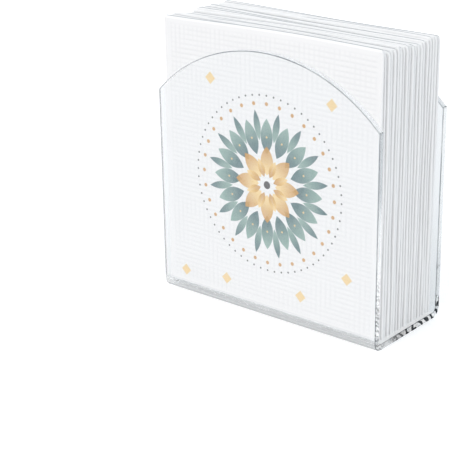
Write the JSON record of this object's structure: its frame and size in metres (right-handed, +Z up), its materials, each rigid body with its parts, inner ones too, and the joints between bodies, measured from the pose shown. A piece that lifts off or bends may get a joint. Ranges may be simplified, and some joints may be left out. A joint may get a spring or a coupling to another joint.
{
  "type": "napkin holder",
  "caption": "Clear upright napkin holder of one bent sheet with two arched walls, filled with folded paper napkins that lift out one by one.",
  "frame": {"origin": "centre of the holder's underside, on the surface that it stands on", "axes": "+Z up, +X along the width, +Y from the front wall to the rear wall"},
  "size_m": [0.165, 0.07, 0.1783],
  "materials": {
    "clear_acrylic": "polished",
    "napkin_paper": "matte"
  },
  "bodies": {
    "holder": {"holder_sheet": "clear_acrylic"},
    "napkin_01": {"napkin_01": "napkin_paper"},
    "napkin_02": {"napkin_02": "napkin_paper"},
    "napkin_03": {"napkin_03": "napkin_paper"},
    "napkin_04": {"napkin_04": "napkin_paper"},
    "napkin_05": {"napkin_05": "napkin_paper"},
    "napkin_06": {"napkin_06": "napkin_paper"},
    "napkin_07": {"napkin_07": "napkin_paper"},
    "napkin_08": {"napkin_08": "napkin_paper"},
    "napkin_09": {"napkin_09": "napkin_paper"},
    "napkin_10": {"napkin_10": "napkin_paper"},
    "napkin_11": {"napkin_11": "napkin_paper"},
    "napkin_12": {"napkin_12": "napkin_paper"},
    "napkin_13": {"napkin_13": "napkin_paper"},
    "napkin_14": {"napkin_14": "napkin_paper"},
    "napkin_15": {"napkin_15": "napkin_paper"},
    "napkin_16": {"napkin_16": "napkin_paper"},
    "napkin_17": {"napkin_17": "napkin_paper"},
    "napkin_18": {"napkin_18": "napkin_paper"},
    "napkin_19": {"napkin_19": "napkin_paper"},
    "napkin_20": {"napkin_20": "napkin_paper"}
  },
  "joints": [
    {"name": "napkin_01_lift", "type": "slide", "parent": "holder", "child": "napkin_01", "axis": [0, 0, 1], "range_m": [0, 0.18]},
    {"name": "napkin_02_lift", "type": "slide", "parent": "holder", "child": "napkin_02", "axis": [0, 0, 1], "range_m": [0, 0.18]},
    {"name": "napkin_03_lift", "type": "slide", "parent": "holder", "child": "napkin_03", "axis": [0, 0, 1], "range_m": [0, 0.18]},
    {"name": "napkin_04_lift", "type": "slide", "parent": "holder", "child": "napkin_04", "axis": [0, 0, 1], "range_m": [0, 0.18]},
    {"name": "napkin_05_lift", "type": "slide", "parent": "holder", "child": "napkin_05", "axis": [0, 0, 1], "range_m": [0, 0.18]},
    {"name": "napkin_06_lift", "type": "slide", "parent": "holder", "child": "napkin_06", "axis": [0, 0, 1], "range_m": [0, 0.18]},
    {"name": "napkin_07_lift", "type": "slide", "parent": "holder", "child": "napkin_07", "axis": [0, 0, 1], "range_m": [0, 0.18]},
    {"name": "napkin_08_lift", "type": "slide", "parent": "holder", "child": "napkin_08", "axis": [0, 0, 1], "range_m": [0, 0.18]},
    {"name": "napkin_09_lift", "type": "slide", "parent": "holder", "child": "napkin_09", "axis": [0, 0, 1], "range_m": [0, 0.18]},
    {"name": "napkin_10_lift", "type": "slide", "parent": "holder", "child": "napkin_10", "axis": [0, 0, 1], "range_m": [0, 0.18]},
    {"name": "napkin_11_lift", "type": "slide", "parent": "holder", "child": "napkin_11", "axis": [0, 0, 1], "range_m": [0, 0.18]},
    {"name": "napkin_12_lift", "type": "slide", "parent": "holder", "child": "napkin_12", "axis": [0, 0, 1], "range_m": [0, 0.18]},
    {"name": "napkin_13_lift", "type": "slide", "parent": "holder", "child": "napkin_13", "axis": [0, 0, 1], "range_m": [0, 0.18]},
    {"name": "napkin_14_lift", "type": "slide", "parent": "holder", "child": "napkin_14", "axis": [0, 0, 1], "range_m": [0, 0.18]},
    {"name": "napkin_15_lift", "type": "slide", "parent": "holder", "child": "napkin_15", "axis": [0, 0, 1], "range_m": [0, 0.18]},
    {"name": "napkin_16_lift", "type": "slide", "parent": "holder", "child": "napkin_16", "axis": [0, 0, 1], "range_m": [0, 0.18]},
    {"name": "napkin_17_lift", "type": "slide", "parent": "holder", "child": "napkin_17", "axis": [0, 0, 1], "range_m": [0, 0.18]},
    {"name": "napkin_18_lift", "type": "slide", "parent": "holder", "child": "napkin_18", "axis": [0, 0, 1], "range_m": [0, 0.18]},
    {"name": "napkin_19_lift", "type": "slide", "parent": "holder", "child": "napkin_19", "axis": [0, 0, 1], "range_m": [0, 0.18]},
    {"name": "napkin_20_lift", "type": "slide", "parent": "holder", "child": "napkin_20", "axis": [0, 0, 1], "range_m": [0, 0.18]}
  ]
}
